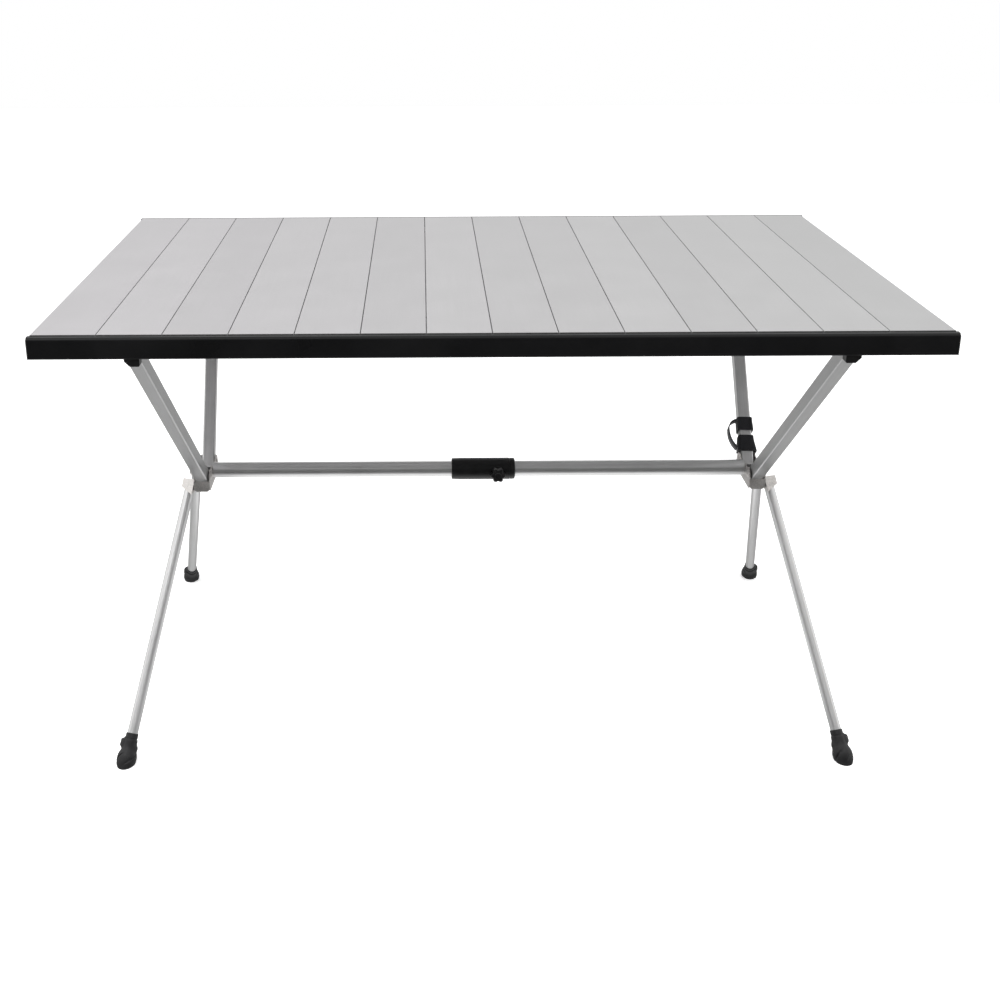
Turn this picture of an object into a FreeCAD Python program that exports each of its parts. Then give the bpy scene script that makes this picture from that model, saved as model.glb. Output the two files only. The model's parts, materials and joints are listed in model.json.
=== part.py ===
import FreeCAD
import Part
import math
import os
from FreeCAD import Vector

# A slatted camping table that stands open. Millimetres, +Z up, origin on the floor under the middle
# of the top. +X runs along the rails, and -Y is the front. Arms, legs and their fittings are made
# for the front right corner and mirrored to the others.

# Top
TOP_LENGTH = 1200.0
TOP_DEPTH = 700.0
TOP_HEIGHT = 700.0
SLAT_COUNT = 14
SLAT_PITCH = 85.4
SLAT_GAP = 1.0
SLAT_THICKNESS = 11.0
SLAT_WALL = 1.6
SLAT_LIP = 6.0
SLAT_RIB_DEPTH = 8.0
SLAT_EDGE_CHAMFER = 0.6
SLAT_END_PLAY = 0.5
SLAT_SEAT_PLAY = 0.3

# Strip under each slat's right edge, which closes the gap from below
GAP_STRIP_PLAY = 0.4
GAP_STRIP_THICKNESS = 1.0
GAP_STRIP_COVER = 2.0
GAP_STRIP_END_PLAY = 2.0

# Rails
RAIL_HEIGHT = 29.0
RAIL_TOP_DROP = 1.0
RAIL_WALL = 2.5
RAIL_SHOULDER_RADIUS = 4.5
RAIL_LIP = 11.5
RAIL_LEDGE = 36.0
RAIL_HEM = 3.0
RAIL_END_CHAMFER = 1.5

# Shock cords inside the slats
CORD_RADIUS = 1.5
CORD_OFFSET = 250.0
CORD_HOLE = 4.0
CORD_DROP = 6.4
CORD_STOP_RADIUS = 2.6
CORD_STOP_LENGTH = 6.0
CORD_STOP_PLAY = 1.0

# Arms: square tube between a hub and a rail
ARM_SIZE = 20.0
ARM_WALL = 1.5
ARM_CORNER_RADIUS = 2.2
ARM_PIVOT = Vector(445.8, -30.0, 358.0)
ARM_TOP = Vector(466.0, -330.0, 672.0)
ARM_TAIL = 13.0
ARM_RIVET_RADIUS = 3.0
PLUG_LENGTH = 28.0
SHOE_FRONT = -346.5
SHOE_BACK = -333.0
SHOE_TOP = 685.0
SHOE_BOTTOM = 659.0
SHOE_HALF_WIDTH = 10.0
SHOE_CHAMFER = 7.0
SHOE_CORNER_RADIUS = 2.0
SHOE_OVERLAP = 3.0

# Legs: round tube between a hub and the floor
LEG_RADIUS = 8.0
LEG_WALL = 1.2
LEG_PIVOT = Vector(467.0, -30.0, 341.0)
LEG_FLOOR = Vector(541.5, -281.0, 0.0)
LEG_RIVET_RADIUS = 2.5
LEG_BORE_START = 14.0
LEG_END_ABOVE_FLOOR = 15.0

# Rubber boots, turned about the leg's line: distance above the floor point and radius
BOOT_TOP = 46.0
BOOT_COLLAR_RADIUS = 9.4
BOOT_NECK = 37.0
BOOT_NECK_RADIUS = 10.5
BOOT_BELL_START = 24.0
BOOT_BELL_RADIUS = 15.0
BOOT_BELL_FULL = 14.0
BOOT_STEP = 2.0
BOOT_BELL_LOW = 4.0
BOOT_SOLE_RADIUS = 9.0
BOOT_SOLE_DROP = 8.0

# Hubs: spine plates either side of the arms, end webs below them, a clevis round each leg
PLATE = 1.5
ARM_GAP = 22.8
HUB_BOTTOM = 337.0
HUB_HALF_LENGTH = 43.0
HUB_EAR_RADIUS = 11.0
HUB_WAIST = 365.0
WEB_CORNER = 4.0
CLEVIS_GAP = 8.5
CLEVIS_BACK = -10.0
CLEVIS_OUTER_END = 4.0
CLEVIS_INNER_END = 15.0
CLEVIS_CHIN = -9.0
STOP_PLAY = 1.0
RIVET_HEAD = 2.0
RIVET_HEAD_RADIUS = 5.0
RUNNING_PLAY = 0.05

# Crossbar: two tubes meet inside a sleeve, round a smaller inner tube
BAR_HEIGHT = 356.0
BAR_RADIUS = 12.5
BAR_WALL = 1.5
BAR_JOINT = -5.0
BAR_JOINT_GAP = 1.0
INNER_TUBE_RADIUS = 10.9
INNER_TUBE_LEFT = -105.0
INNER_TUBE_RIGHT = 95.0
BAR_PLUG_LENGTH = 24.0
BAR_BOLT_RADIUS = 4.0
BAR_BOLT_HEAD_RADIUS = 7.0
BAR_BOLT_HEAD = 3.0
SLEEVE_LEFT = -44.0
SLEEVE_RIGHT = 59.0
SLEEVE_RADIUS = 17.5
SLEEVE_BAND = 8.0
SLEEVE_BAND_RADIUS = 16.8

# Lock knob on the front of the sleeve
KNOB_X = 30.5
KNOB_BOSS_RADIUS = 8.0
KNOB_BOSS_END = 19.6
KNOB_START = 20.0
KNOB_THICKNESS = 12.0
KNOB_CORE_RADIUS = 9.0
KNOB_LOBES = 6
KNOB_LOBE_RADIUS = 3.4
KNOB_LOBE_REACH = 8.7
STEM_RADIUS = 3.0
STEM_END = 12.8
STEM_IN_KNOB = 7.2

# Tie strap on the rear right arm: distances from the arm's pivot, and half widths
STRAP_LOW = 9.0
STRAP_LOW_UNDER = 13.0
STRAP_LOW_END = 38.0
STRAP_HIGH = 46.0
STRAP_HIGH_END = 70.0
STRAP_SPREAD = 18.0
STRAP_HALF = 13.4
STRAP_PLAY = 0.3
STRAP_EAR_PLAY = 1.2
STRAP_BORE_START = 1.0
STRAP_LOOP_REACH = 27.0
STRAP_LOOP_LOW = 14.0
STRAP_LOOP_HIGH = 67.0
STRAP_LOOP_BEND = 15.0
STRAP_LOOP_WALL = 2.5
STRAP_LOOP_WIDTH = 18.0

UP = Vector(0, 0, 1)
ALONG = Vector(1, 0, 0)
BACK = Vector(0, 1, 0)


def unit(v):
    return Vector(v).normalize()


def placed(shape, origin, x, z):
    """Moves a shape so that its own X and Z axes lie along x and z."""
    y = z.cross(x)
    rows = (
        x.x, y.x, z.x, origin.x,
        x.y, y.y, z.y, origin.y,
        x.z, y.z, z.z, origin.z,
        0, 0, 0, 1,
    )
    moved = shape.copy()
    moved.Placement = FreeCAD.Placement(FreeCAD.Matrix(*rows))
    return moved


def box(low, high):
    size = high - low
    return Part.makeBox(size.x, size.y, size.z, low)


def rod(radius, start, end):
    run = end - start
    return Part.makeCylinder(radius, run.Length, start, run)


def prism(points, run):
    return Part.Face(Part.makePolygon(points + points[:1])).extrude(run)


def joined(shapes):
    return shapes[0].fuse(shapes[1:]).removeSplitter()


def to_corner(shape, side, end):
    """Mirrors a front right shape. side is 1 for right or -1 for left, end is -1 for front or 1 for rear."""
    if side < 0:
        shape = shape.mirror(Vector(), ALONG)
    if end > 0:
        shape = shape.mirror(Vector(), BACK)
    return shape


ARM_LINE = unit(ARM_TOP - ARM_PIVOT)
ARM_PIN = unit(UP.cross(ARM_LINE))
LEG_LINE = unit(LEG_FLOOR - LEG_PIVOT)
LEG_PIN = unit(UP.cross(LEG_LINE))
LEG_LENGTH = (LEG_FLOOR - LEG_PIVOT).Length

# The end webs reach up to just under the arm, measured at their inner face.
ARM_FLAT = math.hypot(ARM_LINE.x, ARM_LINE.y)
WEB_REACH = HUB_HALF_LENGTH - PLATE - abs(ARM_PIVOT.y)
ARM_UNDERSIDE = ARM_PIVOT.z + (WEB_REACH * ARM_LINE.z - ARM_SIZE / 2) / ARM_FLAT
WEB_TOP = ARM_UNDERSIDE - STOP_PLAY


def slat_profile(left, right):
    """A channel open underneath, with a turned-in lip on each wall and two ribs."""
    top = TOP_HEIGHT
    low = top - SLAT_THICKNESS
    skin = top - SLAT_WALL
    rib_low = top - SLAT_RIB_DEPTH
    cut = SLAT_EDGE_CHAMFER
    rib_left = left + (right - left) / 3
    rib_right = right - (right - left) / 3
    half = SLAT_WALL / 2
    return [
        (left, low), (left, top - cut), (left + cut, top), (right - cut, top), (right, top - cut),
        (right, low), (right - SLAT_LIP, low), (right - SLAT_LIP, low + SLAT_WALL),
        (right - SLAT_WALL, low + SLAT_WALL), (right - SLAT_WALL, skin),
        (rib_right + half, skin), (rib_right + half, rib_low),
        (rib_right - half, rib_low), (rib_right - half, skin),
        (rib_left + half, skin), (rib_left + half, rib_low),
        (rib_left - half, rib_low), (rib_left - half, skin),
        (left + SLAT_WALL, skin), (left + SLAT_WALL, low + SLAT_WALL),
        (left + SLAT_LIP, low + SLAT_WALL), (left + SLAT_LIP, low),
    ]


def gap_strip(right):
    """A strip on a slat's underside that reaches under the next slat's edge, between the rails."""
    reach = TOP_DEPTH / 2 - RAIL_LEDGE - GAP_STRIP_END_PLAY
    under = TOP_HEIGHT - SLAT_THICKNESS
    top = under - GAP_STRIP_PLAY
    low = top - GAP_STRIP_THICKNESS
    inner = right - SLAT_LIP
    outer = right + SLAT_GAP + GAP_STRIP_COVER
    outline = [(inner, low), (outer, low), (outer, top), (right, top), (right, under), (inner, under)]
    return prism([Vector(x, -reach, z) for x, z in outline], Vector(0, 2 * reach, 0))


def slat(index):
    left = (index - SLAT_COUNT / 2) * SLAT_PITCH + SLAT_GAP / 2
    right = left + SLAT_PITCH - SLAT_GAP
    half_length = TOP_DEPTH / 2 - RAIL_LIP - SLAT_END_PLAY
    points = [Vector(x, -half_length, z) for x, z in slat_profile(left, right)]
    shape = prism(points, Vector(0, 2 * half_length, 0))
    hole_low = TOP_HEIGHT - CORD_DROP - CORD_HOLE / 2
    first = left if index > 0 else left + SLAT_LIP
    last = right if index < SLAT_COUNT - 1 else right - SLAT_LIP
    for y in (-CORD_OFFSET, CORD_OFFSET):
        low = Vector(first - SLAT_GAP, y - CORD_HOLE / 2, hole_low)
        high = Vector(last + SLAT_GAP, y + CORD_HOLE / 2, hole_low + CORD_HOLE)
        shape = shape.cut(box(low, high))
    if index < SLAT_COUNT - 1:
        shape = joined([shape, gap_strip(right)])
    return shape


def shock_cords():
    """Two elastic cords along X, each with a crimp inside both outermost slats."""
    reach = SLAT_COUNT * SLAT_PITCH / 2 - SLAT_GAP / 2 - SLAT_WALL - CORD_STOP_PLAY
    z = TOP_HEIGHT - CORD_DROP
    cords = []
    for y in (-CORD_OFFSET, CORD_OFFSET):
        pieces = [rod(CORD_RADIUS, Vector(-reach, y, z), Vector(reach, y, z))]
        for side in (-1, 1):
            outer = Vector(side * reach, y, z)
            inner = Vector(side * (reach - CORD_STOP_LENGTH), y, z)
            pieces.append(rod(CORD_STOP_RADIUS, inner, outer))
        cords.append(joined(pieces))
    return Part.makeCompound(cords)


def rail_walls():
    """The front rail in three walls that meet face to face: outer wall, lip with its step, and ledge."""
    front = -TOP_DEPTH / 2
    top = TOP_HEIGHT - RAIL_TOP_DROP
    bottom = top - RAIL_HEIGHT
    seat = TOP_HEIGHT - SLAT_THICKNESS - SLAT_SEAT_PLAY
    wall = RAIL_WALL
    radius = RAIL_SHOULDER_RADIUS
    x = -TOP_LENGTH / 2

    def at(depth, z):
        return Vector(x, front + depth, z)

    def arc(r):
        middle = r * math.sqrt(0.5)
        centre = at(radius, top - radius)
        return [centre + Vector(0, -r, 0), centre + Vector(0, -middle, middle), centre + Vector(0, 0, r)]

    def lines(points):
        return [Part.makeLine(a, b) for a, b in zip(points, points[1:])]

    def along_rail(edges):
        face = Part.Face(Part.Wire(Part.__sortEdges__(edges)))
        return face.extrude(Vector(TOP_LENGTH, 0, 0))

    outer = arc(radius)
    inner = arc(radius - wall)
    outer_wall = along_rail(
        [Part.Arc(*outer).toShape(), Part.Arc(*inner).toShape()]
        + lines([outer[2], inner[2]])
        + lines([inner[0], at(wall, bottom), at(0, bottom), outer[0]])
    )
    corners = [
        edge for edge in outer_wall.Edges
        if all(abs(v.Y - front) < 0.01 and abs(abs(v.X) - TOP_LENGTH / 2) < 0.01 for v in edge.Vertexes)
    ]
    under = seat - wall
    lip = along_rail(lines([
        at(radius, top), at(RAIL_LIP, top), at(RAIL_LIP, under), at(RAIL_LIP - wall, under),
        at(RAIL_LIP - wall, top - wall), at(radius, top - wall), at(radius, top),
    ]))
    ledge = along_rail(lines([
        at(RAIL_LIP, seat), at(RAIL_LEDGE, seat), at(RAIL_LEDGE, under - RAIL_HEM),
        at(RAIL_LEDGE - wall, under - RAIL_HEM), at(RAIL_LEDGE - wall, under), at(RAIL_LIP, under),
        at(RAIL_LIP, seat),
    ]))
    return {"": outer_wall.makeChamfer(RAIL_END_CHAMFER, corners), "_lip": lip, "_ledge": ledge}


def arm_block(size, start, end):
    """A square bar on the arm's line, from start to end along it."""
    bar = Part.makeBox(size, size, end - start, Vector(-size / 2, -size / 2, start))
    return placed(bar, ARM_PIVOT, ARM_PIN, ARM_LINE)


def arm_pin(radius, start, end):
    return rod(radius, ARM_PIVOT + ARM_PIN * start, ARM_PIVOT + ARM_PIN * end)


ARM_LENGTH = (ARM_TOP - ARM_PIVOT).Length


def arm():
    tube = arm_block(ARM_SIZE, -ARM_TAIL, ARM_LENGTH)
    tube = tube.makeFillet(ARM_CORNER_RADIUS, [edge for edge in tube.Edges if edge.Length > 2 * ARM_SIZE])
    bore = arm_block(ARM_SIZE - 2 * ARM_WALL, -ARM_TAIL - 1, ARM_LENGTH + 1)
    hole = arm_pin(ARM_RIVET_RADIUS + RUNNING_PLAY, -ARM_SIZE, ARM_SIZE)
    return tube.cut([bore, hole])


def arm_shoe():
    """A plug in the arm's end, under a block that stands in the rail's channel."""
    middle = ARM_TOP.x
    inner = middle - SHOE_HALF_WIDTH
    outer = middle + SHOE_HALF_WIDTH
    outline = [
        Vector(inner, SHOE_FRONT, SHOE_BOTTOM),
        Vector(outer - SHOE_CHAMFER, SHOE_FRONT, SHOE_BOTTOM),
        Vector(outer, SHOE_FRONT, SHOE_BOTTOM + SHOE_CHAMFER),
        Vector(outer, SHOE_FRONT, SHOE_TOP),
        Vector(inner, SHOE_FRONT, SHOE_TOP),
    ]
    block = prism(outline, Vector(0, SHOE_BACK - SHOE_FRONT, 0))
    corner = [
        edge for edge in block.Edges
        if all(abs(v.X - inner) < 0.01 and abs(v.Z - SHOE_BOTTOM) < 0.01 for v in edge.Vertexes)
    ]
    block = block.makeFillet(SHOE_CORNER_RADIUS, corner)
    block = block.cut(arm_block(ARM_SIZE, 0, ARM_LENGTH))
    plug = arm_block(ARM_SIZE - 2 * ARM_WALL, ARM_LENGTH - PLUG_LENGTH, ARM_LENGTH + SHOE_OVERLAP)
    return joined([block, plug])


def leg_rod(radius, start, end):
    return rod(radius, LEG_PIVOT + LEG_LINE * start, LEG_PIVOT + LEG_LINE * end)


def leg_pin(radius, start, end):
    return rod(radius, LEG_PIVOT + LEG_PIN * start, LEG_PIVOT + LEG_PIN * end)


def leg():
    """A tube with a closed round head at the rivet."""
    end = LEG_LENGTH - LEG_END_ABOVE_FLOOR
    head = Part.makeSphere(LEG_RADIUS, LEG_PIVOT)
    tube = joined([head, leg_rod(LEG_RADIUS, 0, end)])
    bore = leg_rod(LEG_RADIUS - LEG_WALL, LEG_BORE_START, end + 1)
    hole = leg_pin(LEG_RIVET_RADIUS + RUNNING_PLAY, -2 * LEG_RADIUS, 2 * LEG_RADIUS)
    return tube.cut([bore, hole])


def boot():
    """A rubber boot over the leg's end, cut flat on the floor."""
    outline = [
        (0, -BOOT_SOLE_DROP), (BOOT_SOLE_RADIUS, -BOOT_SOLE_DROP),
        (BOOT_BELL_RADIUS, BOOT_BELL_LOW), (BOOT_BELL_RADIUS, BOOT_BELL_FULL),
        (BOOT_NECK_RADIUS, BOOT_BELL_START), (BOOT_NECK_RADIUS, BOOT_NECK),
        (BOOT_COLLAR_RADIUS, BOOT_NECK + BOOT_STEP), (BOOT_COLLAR_RADIUS, BOOT_TOP), (0, BOOT_TOP),
    ]
    face = Part.Face(Part.makePolygon([Vector(r, 0, a) for r, a in outline + outline[:1]]))
    turned = face.revolve(Vector(), UP, 360)
    shape = placed(turned, LEG_FLOOR, LEG_PIN, LEG_LINE * -1)
    reach = 4 * BOOT_BELL_RADIUS
    floor = box(LEG_FLOOR - Vector(reach, reach, reach), LEG_FLOOR + Vector(reach, reach, 0))
    return shape.cut([floor, leg_rod(LEG_RADIUS, 0, LEG_LENGTH - LEG_END_ABOVE_FLOOR)])


def rounded_plate(x):
    """A spine plate in the YZ plane: a flat bottom, cut corners, and an ear round each arm rivet."""
    ear_y = abs(ARM_PIVOT.y)
    half = HUB_HALF_LENGTH
    points = [
        (-half + WEB_CORNER, HUB_BOTTOM), (half - WEB_CORNER, HUB_BOTTOM), (half, HUB_BOTTOM + WEB_CORNER),
        (half, WEB_TOP), (ear_y + HUB_EAR_RADIUS, ARM_PIVOT.z), (ear_y, HUB_WAIST), (-ear_y, HUB_WAIST),
        (-ear_y - HUB_EAR_RADIUS, ARM_PIVOT.z), (-half, WEB_TOP), (-half, HUB_BOTTOM + WEB_CORNER),
    ]
    plate = prism([Vector(x, y, z) for y, z in points], Vector(PLATE, 0, 0))
    ears = []
    for y in (-ear_y, ear_y):
        centre = Vector(x, y, ARM_PIVOT.z)
        ears.append(rod(HUB_EAR_RADIUS, centre, centre + ALONG * PLATE))
    return joined([plate] + ears)


SPINE_INNER = ARM_PIVOT.x - ARM_GAP / 2 - PLATE
SPINE_OUTER = ARM_PIVOT.x + ARM_GAP / 2


def end_web():
    """The plate across the front of the hub that the arm comes down on."""
    left = SPINE_INNER
    right = SPINE_OUTER + PLATE
    points = [
        (left + WEB_CORNER, HUB_BOTTOM), (right - WEB_CORNER, HUB_BOTTOM), (right, HUB_BOTTOM + WEB_CORNER),
        (right, WEB_TOP), (left, WEB_TOP), (left, HUB_BOTTOM + WEB_CORNER),
    ]
    return prism([Vector(x, -HUB_HALF_LENGTH, z) for x, z in points], Vector(0, PLATE, 0))


def leg_clevis():
    """Two cheeks beside the leg's head, joined by a web on its outer side that stops it.

    The web's lower edge slants, so that it is longest beside the spine plate.
    """
    stop = LEG_RADIUS + STOP_PLAY
    outside = stop + PLATE
    edge = CLEVIS_GAP + PLATE
    pieces = []
    for start, reach in ((-edge, CLEVIS_INNER_END), (CLEVIS_GAP, CLEVIS_OUTER_END)):
        cheek = [(CLEVIS_CHIN, CLEVIS_BACK), (outside, CLEVIS_BACK), (outside, reach), (CLEVIS_CHIN, 0)]
        pieces.append(prism([Vector(start, y, z) for y, z in cheek], ALONG * PLATE))
    web = [(-edge, CLEVIS_BACK), (edge, CLEVIS_BACK), (edge, CLEVIS_OUTER_END), (-edge, CLEVIS_INNER_END)]
    pieces.append(prism([Vector(x, stop, z) for x, z in web], BACK * PLATE))
    shape = placed(joined(pieces), LEG_PIVOT, LEG_PIN, LEG_LINE)
    reach = HUB_HALF_LENGTH * 2
    low = Vector(0, -reach, HUB_BOTTOM - reach)
    return shape.cut(box(low, Vector(SPINE_OUTER, reach, HUB_BOTTOM + reach)))


def hub():
    """The right hub."""
    pieces = [rounded_plate(SPINE_INNER), rounded_plate(SPINE_OUTER)]
    holes = []
    for end in (-1, 1):
        pieces.append(to_corner(end_web(), 1, end))
        pieces.append(to_corner(leg_clevis(), 1, end))
        holes.append(to_corner(arm_pin(ARM_RIVET_RADIUS, -3 * ARM_SIZE, 3 * ARM_SIZE), 1, end))
        holes.append(to_corner(leg_pin(LEG_RIVET_RADIUS, -2 * LEG_RADIUS, 2 * LEG_RADIUS), 1, end))
    bolt_reach = Vector(SPINE_OUTER - PLATE, 0, BAR_HEIGHT)
    holes.append(rod(BAR_BOLT_RADIUS, Vector(SPINE_INNER - PLATE, 0, BAR_HEIGHT), bolt_reach))
    return joined(pieces).cut(holes)


def arm_rivet():
    """Headed both ends, trimmed square to the plates."""
    low = SPINE_INNER - RIVET_HEAD
    high = SPINE_OUTER + PLATE + RIVET_HEAD
    shaft = arm_pin(ARM_RIVET_RADIUS, -2 * ARM_SIZE, 2 * ARM_SIZE)
    span = box(Vector(low, -HUB_HALF_LENGTH, HUB_BOTTOM), Vector(high, 0, HUB_WAIST + HUB_EAR_RADIUS))
    pieces = [shaft.common(span)]
    slope = ARM_PIN.y / ARM_PIN.x
    for start in (low, high - RIVET_HEAD):
        y = ARM_PIVOT.y + (start - ARM_PIVOT.x) * slope
        centre = Vector(start, y, ARM_PIVOT.z)
        pieces.append(rod(RIVET_HEAD_RADIUS, centre, centre + Vector(RIVET_HEAD, 0, 0)))
    return joined(pieces)


def leg_rivet():
    """Flush against the spine plate on the inside, headed on the outside."""
    face = CLEVIS_GAP + PLATE
    shaft = leg_pin(LEG_RIVET_RADIUS, -face, face)
    head = leg_pin(RIVET_HEAD_RADIUS, face, face + RIVET_HEAD)
    return joined([shaft, head])


def ring_tube(outer, inner, left, right):
    start = Vector(left, 0, BAR_HEIGHT)
    end = Vector(right, 0, BAR_HEIGHT)
    shape = rod(outer, start, end)
    return shape.cut(rod(inner, start, end)) if inner else shape


def crossbar_parts():
    bore = BAR_RADIUS - BAR_WALL
    inner_bore = INNER_TUBE_RADIUS - BAR_WALL
    right_start = BAR_JOINT + BAR_JOINT_GAP
    return {
        "crossbar_tube_left": ring_tube(BAR_RADIUS, bore, -SPINE_INNER, BAR_JOINT),
        "crossbar_tube_right": ring_tube(BAR_RADIUS, bore, right_start, SPINE_INNER),
        "crossbar_inner_tube": ring_tube(
            INNER_TUBE_RADIUS, inner_bore, INNER_TUBE_LEFT, INNER_TUBE_RIGHT
        ),
        "crossbar_sleeve": sleeve(),
    }


def bar_plug():
    """A nut plug inside the right end of the crossbar."""
    bore = BAR_RADIUS - BAR_WALL
    return ring_tube(bore, BAR_BOLT_RADIUS, SPINE_INNER - BAR_PLUG_LENGTH, SPINE_INNER)


def bar_bolt():
    """Runs through the hub's inner plate into the plug."""
    shaft = ring_tube(BAR_BOLT_RADIUS, 0, SPINE_INNER - BAR_PLUG_LENGTH, SPINE_INNER + PLATE)
    head_start = SPINE_INNER + PLATE
    head = ring_tube(BAR_BOLT_HEAD_RADIUS, 0, head_start, head_start + BAR_BOLT_HEAD)
    return joined([shaft, head])


def sleeve():
    body = ring_tube(SLEEVE_RADIUS, 0, SLEEVE_LEFT, SLEEVE_RIGHT - SLEEVE_BAND)
    band = ring_tube(SLEEVE_BAND_RADIUS, 0, SLEEVE_RIGHT - SLEEVE_BAND, SLEEVE_RIGHT)
    centre = Vector(KNOB_X, 0, BAR_HEIGHT)
    boss = rod(KNOB_BOSS_RADIUS, centre, centre - BACK * KNOB_BOSS_END)
    bore = ring_tube(BAR_RADIUS + RUNNING_PLAY, 0, SLEEVE_LEFT, SLEEVE_RIGHT)
    stem_hole = rod(STEM_RADIUS + RUNNING_PLAY, centre, centre - BACK * (KNOB_BOSS_END + 1))
    return joined([body, band, boss]).cut([bore, stem_hole])


def lock_knob():
    centre = Vector(KNOB_X, -KNOB_START, BAR_HEIGHT)
    depth = BACK * -KNOB_THICKNESS
    pieces = [rod(KNOB_CORE_RADIUS, centre, centre + depth)]
    for index in range(KNOB_LOBES):
        turn = 2 * math.pi * index / KNOB_LOBES
        out = Vector(math.cos(turn), 0, math.sin(turn)) * KNOB_LOBE_REACH
        pieces.append(rod(KNOB_LOBE_RADIUS, centre + out, centre + out + depth))
    return joined(pieces).cut(lock_stem())


def lock_stem():
    centre = Vector(KNOB_X, 0, BAR_HEIGHT)
    end = KNOB_START + STEM_IN_KNOB
    return rod(STEM_RADIUS, centre - BACK * end, centre - BACK * STEM_END)


def on_arm(shape):
    """Puts a shape made about its own Z axis on the rear right arm's line, before that is mirrored."""
    return placed(shape, ARM_PIVOT, ARM_PIN, ARM_LINE)


def low_wrap():
    """The lower turn of the strap spreads towards the hub, and its lower edge is higher under the arm."""
    spread = STRAP_SPREAD
    half = STRAP_HALF
    start = [(-spread, -half), (spread, -half), (spread, half), (-spread, half)]
    end = [(-half, -half), (half, -half), (half, half), (-half, half)]
    outlines = []
    for points, z in ((start, STRAP_LOW), (end, STRAP_LOW_END)):
        corners = [Vector(x, y, z) for x, y in points]
        outlines.append(Part.makePolygon(corners + corners[:1]))
    wedge = prism(
        [Vector(-spread, -half, 0), Vector(-spread, -half, STRAP_LOW_UNDER), Vector(-spread, half, 0)],
        ALONG * 2 * spread,
    )
    return Part.makeLoft(outlines, True, True).cut(wedge)


def tie_strap():
    """Two turns of the strap round the arm, and the spare loop that stands off its inner side."""
    size = 2 * STRAP_HALF
    high_wrap = Part.makeBox(
        size, size, STRAP_HIGH_END - STRAP_HIGH, Vector(-STRAP_HALF, -STRAP_HALF, STRAP_HIGH)
    )
    base = -STRAP_HALF + STRAP_PLAY
    reach = -STRAP_LOOP_REACH
    wall = STRAP_LOOP_WALL
    low = STRAP_LOOP_LOW
    high = STRAP_LOOP_HIGH
    bend = STRAP_LOOP_BEND
    loop = [
        (base, low), (reach, low + bend), (reach, high - bend), (base, high),
        (base, high - 2 * wall), (reach + wall, high - bend - wall),
        (reach + wall, low + bend + wall), (base, low + 2 * wall),
    ]
    half = STRAP_LOOP_WIDTH / 2
    ribbon = prism([Vector(x, -half, z) for x, z in loop], BACK * STRAP_LOOP_WIDTH)
    inside = ARM_SIZE + 2 * STRAP_PLAY
    hollow = Part.makeBox(inside, inside, STRAP_HIGH_END, Vector(-inside / 2, -inside / 2, STRAP_BORE_START))
    shape = on_arm(joined([low_wrap(), high_wrap, ribbon]).cut(hollow))
    ear_reach = ALONG * (ARM_GAP / 2 + PLATE + STRAP_EAR_PLAY)
    ears = rod(HUB_EAR_RADIUS + STRAP_EAR_PLAY, ARM_PIVOT - ear_reach, ARM_PIVOT + ear_reach)
    return shape.cut(ears)


def all_nodes():
    nodes = {"shock_cords": shock_cords()}
    for wall, shape in rail_walls().items():
        nodes["rail_front" + wall] = shape
        nodes["rail_rear" + wall] = to_corner(shape, 1, 1)
    for index in range(SLAT_COUNT):
        nodes["slat_%02d" % (index + 1)] = slat(index)
    corner_makers = (("arm", arm), ("arm_shoe", arm_shoe), ("leg", leg), ("boot", boot))
    for side, side_name in ((-1, "left"), (1, "right")):
        nodes["hub_" + side_name] = to_corner(hub(), side, -1)
        nodes["crossbar_plug_" + side_name] = to_corner(bar_plug(), side, -1)
        nodes["crossbar_bolt_" + side_name] = to_corner(bar_bolt(), side, -1)
        for name, rivet in (("arm_rivets_", arm_rivet()), ("leg_rivets_", leg_rivet())):
            pair = [to_corner(rivet, side, end) for end in (-1, 1)]
            nodes[name + side_name] = Part.makeCompound(pair)
        for end, end_name in ((-1, "front"), (1, "rear")):
            for name, maker in corner_makers:
                nodes["%s_%s_%s" % (name, end_name, side_name)] = to_corner(maker(), side, end)
    nodes.update(crossbar_parts())
    nodes["lock_knob"] = lock_knob()
    nodes["lock_stem"] = lock_stem()
    nodes["tie_strap"] = to_corner(tie_strap(), 1, 1)
    return nodes


os.makedirs("parts", exist_ok=True)
for node, shape in all_nodes().items():
    if not shape.isValid():
        print("not valid:", node)
    shape.exportStep("parts/%s.step" % node)
    print(node, len(shape.Solids), round(shape.Volume))
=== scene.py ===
import json
import math
import bmesh
import bpy
from mathutils import Matrix, Vector

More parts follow.
